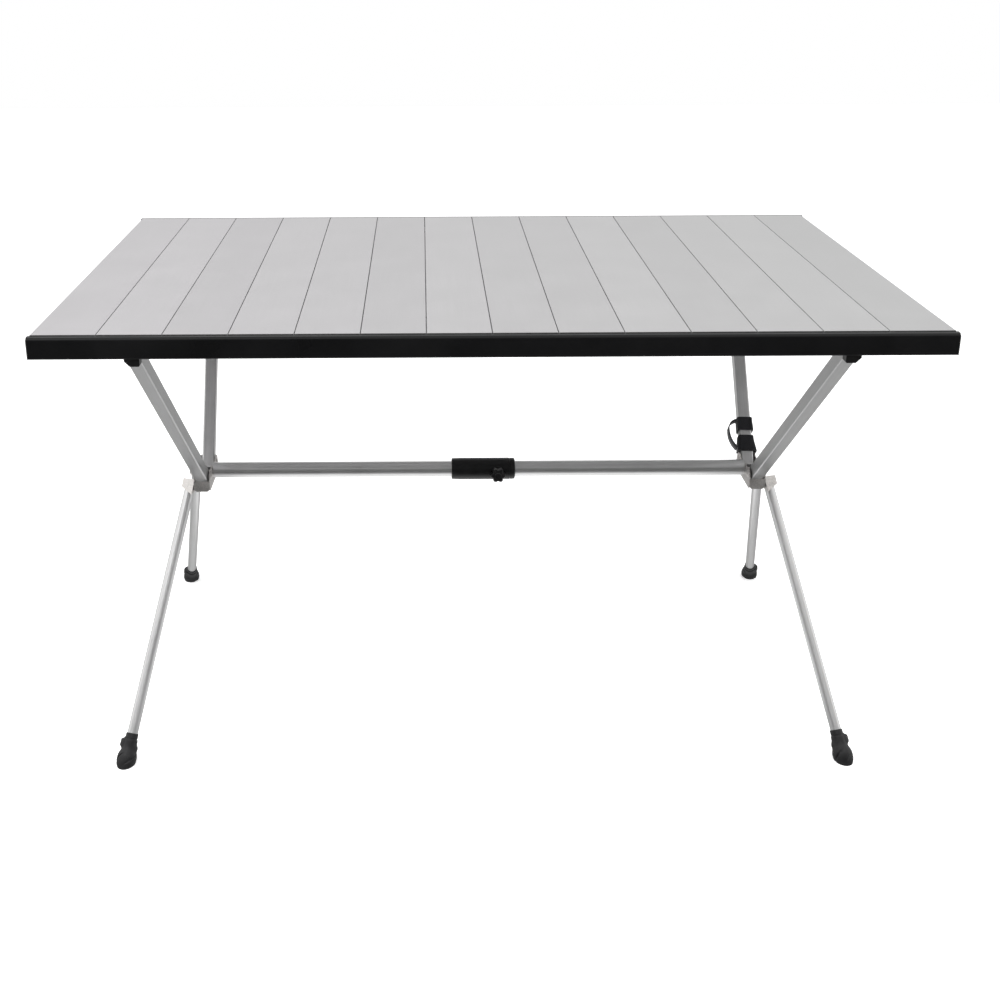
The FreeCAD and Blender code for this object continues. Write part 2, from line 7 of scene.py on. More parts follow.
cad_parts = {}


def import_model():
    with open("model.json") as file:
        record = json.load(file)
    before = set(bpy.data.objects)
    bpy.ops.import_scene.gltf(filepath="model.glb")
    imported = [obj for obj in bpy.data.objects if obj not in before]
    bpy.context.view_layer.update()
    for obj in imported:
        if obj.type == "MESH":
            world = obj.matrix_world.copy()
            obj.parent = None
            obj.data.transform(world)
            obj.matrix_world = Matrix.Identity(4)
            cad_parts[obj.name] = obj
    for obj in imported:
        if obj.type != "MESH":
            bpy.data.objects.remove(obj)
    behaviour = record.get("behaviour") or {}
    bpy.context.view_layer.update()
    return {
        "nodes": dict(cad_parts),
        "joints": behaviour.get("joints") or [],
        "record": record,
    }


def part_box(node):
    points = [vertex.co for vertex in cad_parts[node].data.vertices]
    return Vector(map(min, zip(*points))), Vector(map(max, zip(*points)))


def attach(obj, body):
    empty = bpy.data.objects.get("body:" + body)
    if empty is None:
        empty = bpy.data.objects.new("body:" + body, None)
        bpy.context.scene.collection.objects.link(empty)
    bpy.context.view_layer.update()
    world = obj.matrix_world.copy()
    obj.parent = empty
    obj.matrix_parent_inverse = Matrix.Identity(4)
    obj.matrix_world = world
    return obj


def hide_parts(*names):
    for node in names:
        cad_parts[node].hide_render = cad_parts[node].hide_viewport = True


# A slatted camping table. Everything is in metres, in the frame's own axes: +X along the rails,
# -Y the front, +Z up, with the floor at zero.

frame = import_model()
nodes = frame["nodes"]
joints = {joint["name"]: joint for joint in frame["joints"]}
mounts = {mount["name"]: mount for mount in frame["record"]["mounts"]}

MM = 0.001
CORNERS = [(side, end) for side in ("left", "right") for end in ("front", "rear")]
SLAT_COUNT = sum(name.startswith("slat_") for name in nodes)

# Camera
CAMERA_PLACE = (-0.0908, -1.8388, 1.1912)
CAMERA_PITCH = math.radians(17.71)
CAMERA_ROLL = math.radians(-0.30)
CAMERA_LENS = 44.13
CAMERA_SHIFT = (0.0778, -0.1757)

# Studio. Powers are in watts.
FLOOR_SIZE = 14
FLOOR_GLOW = 0.45
KEY_POWER = 30
SIDE_POWER = 4.5
FLOOR_BOUNCE_POWER = 0.9
FLOOR_WASH_POWER = 60

# The studio's brightness by direction: an axis, where the ramp starts and ends on it, and the
# brightness at both. The first two are multiplied. The others are lower limits.
WORLD_RAMPS = (
    ("Y", -0.80, 0.45, 0.14, 1.0),
    ("Z", -0.30, -0.12, 0.60, 1.0),
    ("Z", 0.25, 0.75, 0.0, 1.0),
    ("Z", -0.95, -0.45, 0.85, 0.0),
)
WORLD_STEPS = ("MULTIPLY", "MAXIMUM", "MAXIMUM")

# Metal tones. The front arms are a darker copy of the rear arms' aluminium: painted shade.
FRONT_ARM_SHADED_TONE = 0.36
REAR_ARM_TONE = 0.46
LEG_TONE = 0.50
CROSSBAR_TONE = 0.54

# Rivets. A leg's rivet has its head on the outer cheek, and its tip comes just through the inner one.
RIVET_HEAD = 1.9 * MM
RIVET_HEAD_RADIUS = 4.8 * MM
RIVET_SHANK_RADIUS = {"arm": 3.0 * MM, "leg": 2.5 * MM}
LEG_RIVET_OUTER = 11.9 * MM
LEG_RIVET_INNER = 10.0 * MM
LEG_RIVET_TIP = 10.4 * MM

# Boots. Heights run up the leg's line from the floor, and half angles are in radians.
GROOVE_COUNT = 4
GROOVE_TWIST = 75
GROOVE_DEPTH = 1.6 * MM
GROOVE_HEIGHT = 9 * MM
GROOVE_HALF_HEIGHT = 14 * MM
TAB_REACH = 4.6 * MM
TAB_HEIGHT = 31 * MM
TAB_HALF_HEIGHT = 10 * MM
TAB_HALF_ANGLE = 0.9
RIB_REACH = 2.2 * MM
RIB_HEIGHT = 25 * MM
RIB_HALF_HEIGHT = 7 * MM
RIB_HALF_ANGLE = 0.8
COLLAR_GROOVE_HEIGHT = 37.6 * MM
COLLAR_GROOVE_HALF = 0.8 * MM
COLLAR_GROOVE_DEPTH = 0.6 * MM

# Knob
KNOB_LOBES = 6
KNOB_ROOT_RADIUS = 5.6 * MM
KNOB_LOBE_DEPTH = 2.6 * MM

# Shock cords
CORD_RADIUS = 1.5 * MM
CORD_PAST_SLAT = 0.3 * MM
CRIMP_RADIUS = 2.6 * MM
CRIMP_LENGTH = 6 * MM

# Tie strap. Lengths without MM are plain millimetres, which tie_strap scales.
STRAP_INNER_HALF = 10.5
STRAP_THICKNESS = 1.2
STRAP_CORNER_POWER = 0.34
STRAP_END_LIFT = 1.25
STRAP_END_INSET = 0.8
LOOP_WIDTH = 19 * MM
LOOP_THICKNESS = 1.5 * MM

# Each turn: its name, its low and high edges up the arm from the pivot, how far its low edge
# spreads and slants, and the angles that its overlapping end covers.
STRAP_TURNS = (
    ("low_turn", 9.6, 37.6, 3.6, 3.2, (-0.9, 2.4)),
    ("high_turn", 46.4, 69.6, 0.5, 0.6, (-2.2, 1.2)),
)

# The loop's line, across and up the arm from the pivot
STRAP_LOOP = (
    (-11.6, 66.0), (-15.5, 65.5), (-22.0, 61.0), (-25.8, 53.0), (-26.0, 43.0),
    (-24.2, 34.0), (-21.0, 26.0), (-17.0, 20.0), (-14.6, 17.0),
)


# ---------------------------------------------------------------- materials

class Look:
    """A material with a Principled shader and a few texture helpers. Textures use object space."""

    def __init__(self, name, color, metallic, roughness, specular=0.5):
        self.material = bpy.data.materials.new(name)
        self.material.use_nodes = True
        self.tree = self.material.node_tree
        self.shader = self.tree.nodes["Principled BSDF"]
        self.color = color
        self.shader.inputs["Base Color"].default_value = (*color, 1)
        self.shader.inputs["Metallic"].default_value = metallic
        self.shader.inputs["Roughness"].default_value = roughness
        self.shader.inputs["Specular IOR Level"].default_value = specular
        self.space = self.node("ShaderNodeTexCoord").outputs["Object"]

    def node(self, kind, **settings):
        made = self.tree.nodes.new(kind)
        for key, value in settings.items():
            setattr(made, key, value)
        return made

    def link(self, source, target):
        self.tree.links.new(source, target)

    def stretched(self, scale, along=Vector((0, 0, 1))):
        """Coordinates turned so that their Z runs along a direction, then scaled."""
        turn = self.node("ShaderNodeMapping", vector_type="POINT")
        turn.inputs["Rotation"].default_value = along.rotation_difference(Vector((0, 0, 1))).to_euler()
        stretch = self.node("ShaderNodeMapping", vector_type="POINT")
        stretch.inputs["Scale"].default_value = scale
        self.link(self.space, turn.inputs["Vector"])
        self.link(turn.outputs["Vector"], stretch.inputs["Vector"])
        return stretch.outputs["Vector"]

    def noise(self, vector, scale=1.0, detail=3.0, rough=0.55):
        made = self.node("ShaderNodeTexNoise")
        made.inputs["Scale"].default_value = scale
        made.inputs["Detail"].default_value = detail
        made.inputs["Roughness"].default_value = rough
        self.link(vector, made.inputs["Vector"])
        return made.outputs["Fac"]

    def ranged(self, value, low, high, start=0.3, end=0.7):
        made = self.node("ShaderNodeMapRange")
        for key, number in (("From Min", start), ("From Max", end), ("To Min", low), ("To Max", high)):
            made.inputs[key].default_value = number
        self.link(value, made.inputs["Value"])
        return made.outputs["Result"]

    def math(self, operation, first, second):
        made = self.node("ShaderNodeMath", operation=operation)
        for socket, value in zip(made.inputs, (first, second)):
            if isinstance(value, (int, float)):
                socket.default_value = value
            else:
                self.link(value, socket)
        return made.outputs["Value"]

    def shade(self, value, dark, light):
        """Base colour between two shades of the material's own colour."""
        made = self.node("ShaderNodeMix", data_type="RGBA")
        made.inputs["A"].default_value = (*[c * dark for c in self.color], 1)
        made.inputs["B"].default_value = (*[min(c * light, 1) for c in self.color], 1)
        self.link(value, made.inputs["Factor"])
        self.link(made.outputs["Result"], self.shader.inputs["Base Color"])

    def roughen(self, value, low, high):
        self.link(self.ranged(value, low, high), self.shader.inputs["Roughness"])

    def bump(self, value, strength, distance):
        made = self.node("ShaderNodeBump")
        made.inputs["Strength"].default_value = strength
        made.inputs["Distance"].default_value = distance
        self.link(value, made.inputs["Height"])
        self.link(made.outputs["Normal"], self.shader.inputs["Normal"])


def grained_metal(name, color, along, roughness=0.38, grain=0.10, depth=0.03):
    """Satin aluminium with fine grain along a direction and faint cloudy marks."""
    look = Look(name, color, 0.85, roughness)
    lines = look.noise(look.stretched((900, 900, 7), along), detail=4)
    clouds = look.noise(look.space, 14, 4)
    mixed = look.math("ADD", look.math("MULTIPLY", lines, 0.6), look.math("MULTIPLY", clouds, 0.4))
    look.shade(look.ranged(mixed, 0, 1, 0.35, 0.65), 1 - grain, 1 + grain)
    look.roughen(mixed, roughness - 0.07, roughness + 0.08)
    look.bump(lines, depth, 0.0004)
    return look.material


def slat_metal(index):
    """Anodised sheet: each slat's tone differs a little, and the slats get slightly darker and less tinted
    towards the last one.
    """
    across = index / (SLAT_COUNT - 1)
    tone = 0.485 + 0.012 * math.sin(index * 2.3) - 0.02 * across
    warm = 0.007 * (1 - across)
    color = (tone + warm, tone - warm * 0.6, tone + warm)
    return grained_metal("slat_aluminium_%02d" % index, color, Vector((0, 1, 0)), 0.42, 0.05, 0.02)


def powder_coat():
    """Satin black coating with a fine orange peel."""
    look = Look("rail_black", (0.0052, 0.0052, 0.0055), 0.0, 0.32, 0.10)
    peel = look.noise(look.space, 900, 2)
    clouds = look.noise(look.space, 9, 3)
    look.shade(look.ranged(clouds, 0, 1), 0.8, 1.3)
    look.roughen(clouds, 0.26, 0.38)
    look.bump(peel, 0.12, 0.0002)
    return look.material


def zinc_plate():
    """Pressed steel with a dull, slightly warm, mottled plating."""
    look = Look("hub_steel", (0.47, 0.452, 0.437), 0.8, 0.40)
    cells = look.node("ShaderNodeTexVoronoi", feature="F1")
    cells.inputs["Scale"].default_value = 420
    look.link(look.space, cells.inputs["Vector"])
    clouds = look.noise(look.space, 60, 5)
    grain = look.math("MULTIPLY", cells.outputs["Distance"], 0.35)
    mixed = look.math("ADD", grain, look.math("MULTIPLY", clouds, 0.8))
    look.shade(look.ranged(mixed, 0, 1, 0.3, 0.8), 0.72, 1.2)
    look.roughen(mixed, 0.28, 0.46)
    look.bump(clouds, 0.08, 0.0004)
    return look.material


def moulded(name, level, roughness, grain_scale, grain_strength):
    """Black plastic or rubber with a moulded grain and faint scuffs."""
    look = Look(name, (level, level, level * 1.05), 0.0, roughness, 0.25)
    grain = look.noise(look.space, grain_scale, 2)
    scuffs = look.noise(look.space, 70, 5, 0.7)
    look.shade(look.ranged(scuffs, 0, 1, 0.35, 0.75), 0.8, 1.9)
    look.roughen(scuffs, roughness - 0.06, roughness + 0.1)
    look.bump(grain, grain_strength, 0.0003)
    return look.material


def webbing():
    """Hook-and-loop ribbon: a fine rib weave under a fuzzy pile."""
    look = Look("strap_fabric", (0.012, 0.012, 0.014), 0.0, 0.92, 0.15)
    look.shader.inputs["Sheen Weight"].default_value = 0.2
    look.shader.inputs["Sheen Roughness"].default_value = 0.5
    pile = look.noise(look.space, 1500, 3, 0.7)
    weave = look.node("ShaderNodeTexWave", wave_type="BANDS", bands_direction="DIAGONAL")
    weave.inputs["Scale"].default_value = 420
    weave.inputs["Distortion"].default_value = 1.5
    look.link(look.space, weave.inputs["Vector"])
    ribs = look.math("MULTIPLY", weave.outputs["Fac"], 0.4)
    mixed = look.math("ADD", look.math("MULTIPLY", pile, 0.6), ribs)
    look.shade(look.ranged(mixed, 0, 1), 0.6, 1.9)
    look.bump(mixed, 0.5, 0.0006)
    return look.material


def braid():
    """The cords' braided cover."""
    look = Look("shock_cord", (0.035, 0.035, 0.04), 0.0, 0.85, 0.2)
    weave = look.node("ShaderNodeTexWave", wave_type="BANDS", bands_direction="DIAGONAL")
    weave.inputs["Scale"].default_value = 500
    look.link(look.space, weave.inputs["Vector"])
    look.shade(weave.outputs["Fac"], 0.5, 2.2)
    look.bump(weave.outputs["Fac"], 0.5, 0.0004)
    return look.material


def paint(obj, material):
    obj.data.materials.clear()
    obj.data.materials.append(material)


# ---------------------------------------------------------------- mesh helpers

def add_mesh(name, points, faces):
    mesh = bpy.data.meshes.new(name)
    mesh.from_pydata([tuple(p) for p in points], [], faces)
    obj = bpy.data.objects.new(name, mesh)
    bpy.context.scene.collection.objects.link(obj)
    return obj


def cut_at_floor(obj):
    """Closes the shape, cuts it flat at the floor and points its faces outwards."""
    work = bmesh.new()
    work.from_mesh(obj.data)
    bmesh.ops.remove_doubles(work, verts=work.verts, dist=1e-6)
    geometry = work.verts[:] + work.edges[:] + work.faces[:]
    cut = bmesh.ops.bisect_plane(
        work, geom=geometry, plane_co=(0, 0, 0), plane_no=(0, 0, 1), clear_inner=True
    )
    edges = [item for item in cut["geom_cut"] if isinstance(item, bmesh.types.BMEdge)]
    bmesh.ops.contextual_create(work, geom=edges)
    bmesh.ops.recalc_face_normals(work, faces=work.faces)
    work.to_mesh(obj.data)
    work.free()


def smooth(obj, angle=35):
    """Smooth shading that keeps edges sharper than the angle."""
    for polygon in obj.data.polygons:
        polygon.use_smooth = True
    work = bmesh.new()
    work.from_mesh(obj.data)
    limit = math.radians(angle)
    for edge in work.edges:
        edge.smooth = len(edge.link_faces) == 2 and edge.calc_face_angle(0) < limit
    work.to_mesh(obj.data)
    work.free()


def rounded_edges(obj, width, segments=2, angle=40):
    """Breaks the sharp edges of a carried-over part."""
    bevel = obj.modifiers.new("broken_edges", "BEVEL")
    bevel.width = width
    bevel.segments = segments
    bevel.limit_method = "ANGLE"
    bevel.angle_limit = math.radians(angle)
    bevel.harden_normals = True


def axes_along(direction, hint=Vector((0, 0, 1))):
    """A matrix whose Z runs along the direction."""
    z = Vector(direction).normalized()
    x = hint.cross(z).normalized()
    return Matrix((x, z.cross(x), z)).transposed()


def turned(name, profile, place, turn, segments=64, shape=None):
    """Turns (height, radius) pairs about Z. shape(angle, height, radius) may change the radius."""
    points = []
    for height, radius in profile:
        for step in range(segments):
            angle = 2 * math.pi * step / segments
            r = shape(angle, height, radius) if shape else radius
            points.append(place + turn @ Vector((r * math.cos(angle), r * math.sin(angle), height)))
    faces = []
    for ring in range(len(profile) - 1):
        for step in range(segments):
            a = ring * segments + step
            b = ring * segments + (step + 1) % segments
            faces.append((a, b, b + segments, a + segments))
    faces.append(tuple(range(segments - 1, -1, -1)))
    last = (len(profile) - 1) * segments
    faces.append(tuple(range(last, last + segments)))
    return add_mesh(name, points, faces)


def rounded(points, radius, steps=5):
    """Rounds the corners of an open (height, radius) outline with short parabolas."""
    made = [points[0]]
    for before, here, after in zip(points, points[1:], points[2:]):
        here_v = Vector(here)
        into = Vector(before) - here_v
        out = Vector(after) - here_v
        cut = min(radius, into.length * 0.45, out.length * 0.45)
        start = here_v + into.normalized() * cut
        end = here_v + out.normalized() * cut
        for step in range(steps + 1):
            t = step / steps
            made.append(tuple((1 - t) ** 2 * start + 2 * t * (1 - t) * here_v + t * t * end))
    made.append(points[-1])
    return made


def finish_piece(obj, body, material, replaces=(), angle=35):
    """Paints and smooths a new piece, and says what it rides on and replaces."""
    paint(obj, material)
    smooth(obj, angle)
    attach(obj, body)
    if replaces:
        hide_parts(*replaces)


# ---------------------------------------------------------------- carried-over parts

def middle(name):
    low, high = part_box(name)
    return (Vector(low) + Vector(high)) / 2


def limb(kind, side, end):
    """The pivot, pin axis and line of an arm or a leg."""
    joint = joints["%s_fold_%s_%s" % (kind, end, side)]
    pivot = Vector(joint["pos_m"])
    line = (middle("%s_%s_%s" % (kind, end, side)) - pivot).normalized()
    return pivot, Vector(joint["axis"]).normalized(), line


def dress_top():
    for index in range(SLAT_COUNT):
        paint(nodes["slat_%02d" % (index + 1)], slat_metal(index))
    black = powder_coat()
    for name in nodes:
        if name.startswith("rail_"):
            paint(nodes[name], black)


def dress_frame(plastic, steel):
    for side, end in CORNERS:
        tag = "%s_%s" % (end, side)
        # The front arms take the darker tone: painted shade on the same aluminium as the rear arms.
        arm_tone = FRONT_ARM_SHADED_TONE if end == "front" else REAR_ARM_TONE
        for kind, tone in (("arm", arm_tone), ("leg", LEG_TONE)):
            line = limb(kind, side, end)[2]
            name = "%s_%s" % (kind, tag)
            paint(nodes[name], grained_metal(name + "_metal", (tone, tone, tone), line))
        paint(nodes["arm_shoe_" + tag], plastic)
        rounded_edges(nodes["arm_shoe_" + tag], 0.9 * MM, 3)
    bar = grained_metal("crossbar_metal", (CROSSBAR_TONE,) * 3, Vector((1, 0, 0)), 0.33)
    for name in ("crossbar_tube_left", "crossbar_tube_right", "crossbar_inner_tube"):
        paint(nodes[name], bar)
    for side in ("left", "right"):
        for name in ("hub_", "crossbar_bolt_"):
            paint(nodes[name + side], steel)
            rounded_edges(nodes[name + side], 0.5 * MM)
        paint(nodes["crossbar_plug_" + side], plastic)
    paint(nodes["lock_stem"], steel)


# ---------------------------------------------------------------- detailed pieces

def rivets(steel):
    """Domed rivets in place of the plain ones, paired by side and kind."""
    for side in ("left", "right"):
        for kind in ("arm", "leg"):
            made = [rivet(kind, side, end) for end in ("front", "rear")]
            pair = join_pieces("%s_rivets_domed_%s" % (kind, side), made)
            finish_piece(pair, side + "_frame", steel, ["%s_rivets_%s" % (kind, side)])


def rivet(kind, side, end):
    """An arm's rivet has a dome at both ends. A leg's has one, on the outside."""
    pivot, pin, _ = limb(kind, side, end)
    if pin.x * pivot.x < 0:
        pin = -pin
    shank = RIVET_SHANK_RADIUS[kind]
    dome = [
        (math.sin(a) * RIVET_HEAD, math.cos(a) * RIVET_HEAD_RADIUS) for a in (0, 0.35, 0.7, 1.05, 1.35)
    ]
    if kind == "leg":
        outer_reach = LEG_RIVET_OUTER
        bottom = [(-LEG_RIVET_TIP, shank * 0.8), (-LEG_RIVET_INNER, shank)]
    else:
        low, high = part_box("%s_rivets_%s" % (kind, side))
        outer = max(abs(low.x), abs(high.x))
        inner = min(abs(low.x), abs(high.x))
        outer_reach = (outer - abs(pivot.x)) / abs(pin.x)
        inner_base = (abs(pivot.x) - inner) / abs(pin.x) - RIVET_HEAD
        bottom = [(-inner_base - h, r) for h, r in reversed(dome)] + [(-inner_base, shank)]
    outer_base = outer_reach - RIVET_HEAD
    top = [(outer_base + h, r) for h, r in dome]
    return turned("rivet", bottom + [(outer_base, shank)] + top, pivot, axes_along(pin), 32)


def join_pieces(name, objects):
    """Joins meshes into one object."""
    work = bmesh.new()
    for obj in objects:
        work.from_mesh(obj.data)
        bpy.data.objects.remove(obj)
    mesh = bpy.data.meshes.new(name)
    bmesh.ops.recalc_face_normals(work, faces=work.faces)
    work.to_mesh(mesh)
    work.free()
    joined = bpy.data.objects.new(name, mesh)
    bpy.context.scene.collection.objects.link(joined)
    return joined


def boots(rubber):
    """Rubber boots: a collar, a neck with a tab on the outside, and a round bell with slanting grooves."""
    foot = Vector(mounts["floor_foot"]["pos_m"])
    outline = [
        (-12 * MM, 3.0 * MM), (-8.5 * MM, 9.5 * MM), (2 * MM, 14.6 * MM),
        (14 * MM, 14.8 * MM), (23 * MM, 10.6 * MM), (36 * MM, 10.2 * MM),
        (38.5 * MM, 9.3 * MM), (45.4 * MM, 9.2 * MM), (45.8 * MM, 8.05 * MM),
    ]
    profile = dense(rounded(outline, 6 * MM, 8), 0.9 * MM)
    for side, end in CORNERS:
        tag = "%s_%s" % (end, side)
        pivot, _, _ = limb("leg", side, end)
        place = Vector((math.copysign(foot.x, pivot.x), math.copysign(foot.y, pivot.y), 0))
        turn = axes_along(pivot - place)
        outward = turn.transposed() @ Vector((math.copysign(1, pivot.x), 0, 0))
        tab = math.atan2(outward.y, outward.x)

        def shape(angle, height, radius):
            return boot_shape(angle - tab, height, radius)

        obj = turned("boot_moulded_" + tag, profile, place, turn, 128, shape)
        cut_at_floor(obj)
        finish_piece(obj, "leg_" + tag, rubber, ["boot_" + tag], 45)


def hump(value, middle_value, half_width):
    """A smooth bump of height 1 that ends at half_width from the middle."""
    share = min(1.0, abs(value - middle_value) / half_width)
    return (1 - share * share) ** 2


def boot_shape(angle, height, radius):
    """Slanting grooves round the bell, a tab at angle zero, a low rib opposite, and a collar groove."""
    slant = GROOVE_COUNT * (angle - height * GROOVE_TWIST)
    groove = max(0.0, math.cos(slant)) ** 10 * hump(height, GROOVE_HEIGHT, GROOVE_HALF_HEIGHT)
    around = (angle + math.pi) % (2 * math.pi) - math.pi
    tab_rise = min(1.0, 1.6 * hump(height, TAB_HEIGHT, TAB_HALF_HEIGHT))
    tab = hump(around, 0, TAB_HALF_ANGLE) * tab_rise
    rib = hump(abs(around), math.pi, RIB_HALF_ANGLE) * hump(height, RIB_HEIGHT, RIB_HALF_HEIGHT)
    ring = math.exp(-((height - COLLAR_GROOVE_HEIGHT) / COLLAR_GROOVE_HALF) ** 2)
    added = TAB_REACH * tab + RIB_REACH * rib
    removed = GROOVE_DEPTH * groove + COLLAR_GROOVE_DEPTH * ring
    return radius + added - removed


def dense(profile, spacing):
    """Adds points so that no step along the outline is longer than the spacing."""
    made = [profile[0]]
    for here, after in zip(profile, profile[1:]):
        span = math.dist(here, after)
        steps = max(1, math.ceil(span / spacing))
        for step in range(1, steps + 1):
            t = step / steps
            made.append((here[0] + (after[0] - here[0]) * t, here[1] + (after[1] - here[1]) * t))
    return made


def sleeve(plastic):
    """The crossbar's joint sleeve, with the knob's boss.

    Its left end tapers slightly. Its right end has a groove and a chamfer.
    """
    low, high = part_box("crossbar_sleeve")
    z = middle("crossbar_sleeve").z
    radius = (high.z - low.z) / 2
    length = high.x - low.x
    tube_low, tube_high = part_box("crossbar_tube_left")
    bore = (tube_high.z - tube_low.z) / 2 + 0.05 * MM
    outline = [
        (0, bore), (0, radius - 1.5 * MM), (0.8 * MM, radius - 0.5 * MM), (10 * MM, radius - 0.2 * MM),
        (14 * MM, radius), (length - 9 * MM, radius), (length - 8.6 * MM, radius - 1.0 * MM),
        (length - 7.8 * MM, radius - 0.2 * MM), (length - 1.5 * MM, radius - 0.3 * MM),
        (length, radius - 2.4 * MM), (length, bore),
    ]
    profile = dense(rounded(outline, 0.8 * MM, 3), 3 * MM)
    body = ring_body("sleeve_body", profile, Vector((low.x, 0, z)), axes_along((1, 0, 0)))
    boss_length = abs(low.y) - 0.1 * MM
    boss_outline = [
        (bore + 1.5 * MM, 10.5 * MM), (radius - 0.5 * MM, 10.2 * MM), (radius + 0.4 * MM, 8.3 * MM),
        (boss_length - 0.6 * MM, 7.9 * MM), (boss_length, 7.3 * MM),
    ]
    boss_place = Vector((middle("lock_knob").x, 0, z))
    boss = turned("boss", rounded(boss_outline, 0.8 * MM), boss_place, axes_along((0, -1, 0)), 48)
    whole = join_pieces("crossbar_sleeve_moulded", [body, boss])
    finish_piece(whole, "left_frame", plastic, ["crossbar_sleeve"])


def ring_body(name, profile, place, turn, segments=96):
    """A turned shape with a hole down the middle: the outline runs from bore edge to bore edge."""
    count = len(profile)
    points = []
    for height, radius in profile:
        for step in range(segments):
            angle = 2 * math.pi * step / segments
            across = Vector((radius * math.cos(angle), radius * math.sin(angle), height))
            points.append(place + turn @ across)
    faces = []
    for ring in range(count):
        after = (ring + 1) % count
        for step in range(segments):
            onward = (step + 1) % segments
            faces.append((
                ring * segments + step, ring * segments + onward,
                after * segments + onward, after * segments + step,
            ))
    return add_mesh(name, points, faces)


def knob(plastic):
    """A six-lobed clamp knob with a dished face."""
    low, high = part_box("lock_knob")
    place = Vector((middle("lock_knob").x, high.y, middle("lock_knob").z))
    thick = high.y - low.y
    reach = (high.x - low.x) / 2
    outline = [
        (0, 2.0 * MM), (0, reach - 2.4 * MM), (1.2 * MM, reach - 0.6 * MM), (2.4 * MM, reach),
        (thick - 2.6 * MM, reach), (thick - 0.9 * MM, reach - 1.2 * MM), (thick, reach - 3.2 * MM),
        (thick - 0.2 * MM, 5.6 * MM), (thick - 1.1 * MM, 4.9 * MM), (thick - 1.2 * MM, 0.4 * MM),
    ]
    profile = dense(rounded(outline, 1.2 * MM), 1.0 * MM)

    def lobes(angle, height, radius):
        share = max(0.0, (radius - KNOB_ROOT_RADIUS) / (reach - KNOB_ROOT_RADIUS))
        notch = (0.5 - 0.5 * math.cos(KNOB_LOBES * angle)) ** 1.3
        return radius - KNOB_LOBE_DEPTH * share * notch

    obj = turned("lock_knob_moulded", profile, place, axes_along((0, -1, 0)), 120, lobes)
    finish_piece(obj, "lock", plastic, ["lock_knob"], 50)


def cords(material):
    """The shock cords, cut where the gaps are so that each slat carries its own lengths."""
    low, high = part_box("shock_cords")
    z = (low.z + high.z) / 2
    offset = high.y - CRIMP_RADIUS
    along = axes_along((1, 0, 0))
    for index in range(SLAT_COUNT):
        name = "slat_%02d" % (index + 1)
        start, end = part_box(name)
        left = max(start.x - CORD_PAST_SLAT, low.x)
        right = min(end.x + CORD_PAST_SLAT, high.x)
        made = []
        for y in (-offset, offset):
            made.append(turned("cord", cord_profile(right - left), Vector((left, y, z)), along, 16))
        if index in (0, SLAT_COUNT - 1):
            crimp_left = left if index == 0 else right - CRIMP_LENGTH
            for y in (-offset, offset):
                made.append(turned("crimp", crimp_profile(), Vector((crimp_left, y, z)), along, 16))
        pieces = join_pieces("shock_cord_" + name, made)
        finish_piece(pieces, name, material, ["shock_cords"] if index == 0 else ())


def cord_profile(length):
    """A cord with slightly rounded ends."""
    edge = 0.1 * MM
    end_radius = CORD_RADIUS * 0.9
    return [(0, end_radius), (edge, CORD_RADIUS), (length - edge, CORD_RADIUS), (length, end_radius)]


def crimp_profile():
    """The crimp on a cord's end, with chamfered rims."""
    edge = 0.6 * MM
    rim = 1.6 * MM
    return [(0, rim), (edge, CRIMP_RADIUS), (CRIMP_LENGTH - edge, CRIMP_RADIUS), (CRIMP_LENGTH, rim)]


# ---------------------------------------------------------------- tie strap

def ribbon(name, path, width_axis, width, thickness, outs):
    """A flat strip with rounded edges along a path. outs holds the face's direction at each point."""
    half = width / 2
    lift = thickness / 2
    section = [
        (-half + lift * 0.6, -lift), (half - lift * 0.6, -lift), (half, -lift * 0.4), (half, lift * 0.4),
        (half - lift * 0.6, lift), (-half + lift * 0.6, lift), (-half, lift * 0.4), (-half, -lift * 0.4),
    ]
    points = []
    for place, out in zip(path, outs):
        for across, up in section:
            points.append(place + width_axis * across + out * up)
    count = len(section)
    faces = []
    for ring in range(len(path) - 1):
        for step in range(count):
            onward = (step + 1) % count
            faces.append((
                ring * count + step, ring * count + onward,
                (ring + 1) * count + onward, (ring + 1) * count + step,
            ))
    faces.append(tuple(range(count - 1, -1, -1)))
    last = (len(path) - 1) * count
    faces.append(tuple(range(last, last + count)))
    return add_mesh(name, points, faces)


def curve_through(points, steps=14):
    """A smooth line through a few points."""
    made = []
    padded = [points[0]] + list(points) + [points[-1]]
    for a, b, c, d in zip(padded, padded[1:], padded[2:], padded[3:]):
        for step in range(steps):
            t = step / steps
            made.append(0.5 * (
                2 * b + (c - a) * t + (2 * a - 5 * b + 4 * c - d) * t * t + (3 * b - a - 3 * c + d) * t ** 3
            ))
    made.append(points[-1])
    return made


def facing(path, width_axis):
    """Directions square to a path and to the ribbon's width."""
    made = []
    for index in range(len(path)):
        before = path[max(index - 1, 0)]
        after = path[min(index + 1, len(path) - 1)]
        made.append((after - before).normalized().cross(width_axis).normalized())
    return made


def tie_strap(material):
    """Two turns of ribbon round the rear right arm, with the spare length standing off in a loop."""
    pivot, pin, line = limb("arm", "right", "rear")
    if pin.x < 0:
        pin = -pin
    face = pin.cross(line)
    if face.y > 0:
        face = -face

    def at(x, y, z):
        return pivot + (pin * x + face * y + line * z) * MM

    made = []
    for name, low, high, spread, slant, cover in STRAP_TURNS:
        made.append(turn_of_strap(name, at, low, high, spread, slant, 0, (0, 2 * math.pi)))
        low += STRAP_END_INSET
        high -= STRAP_END_INSET
        made.append(turn_of_strap(name + "_end", at, low, high, spread, slant, STRAP_END_LIFT, cover))
    path = curve_through([at(x, 0, z) for x, z in STRAP_LOOP])
    outs = facing(path, face)
    made.append(ribbon("loop", path, face, LOOP_WIDTH, LOOP_THICKNESS, outs))
    whole = join_pieces("tie_strap_ribbon", made)
    finish_piece(whole, "arm_rear_right", material, ["tie_strap"], 50)


